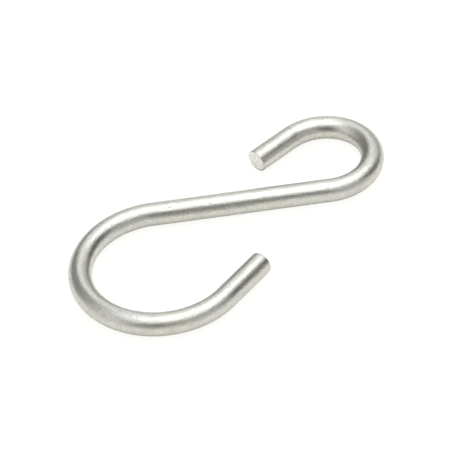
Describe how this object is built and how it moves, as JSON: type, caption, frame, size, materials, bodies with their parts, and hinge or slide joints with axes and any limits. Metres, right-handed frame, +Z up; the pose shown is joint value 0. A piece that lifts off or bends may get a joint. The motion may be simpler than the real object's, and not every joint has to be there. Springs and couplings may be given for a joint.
{
  "type": "s hook",
  "caption": "Open S-shaped hook of round zinc-plated steel wire, with a smaller and a larger round bend on one straight shank; lies flat.",
  "frame": {"origin": "bottom centre of the hook's box, on the surface that the hook lies on", "axes": "+X along the straight shank towards the small bend, +Y to the side that the small hook opens on, +Z up, square to the hook's plane"},
  "size_m": [0.0632, 0.0534, 0.0045],
  "materials": {
    "zinc_plated_wire": "bright satin zinc plating with faint drawing lines"
  },
  "bodies": {
    "root": {"s_hook": "zinc_plated_wire"}
  },
  "joints": []
}
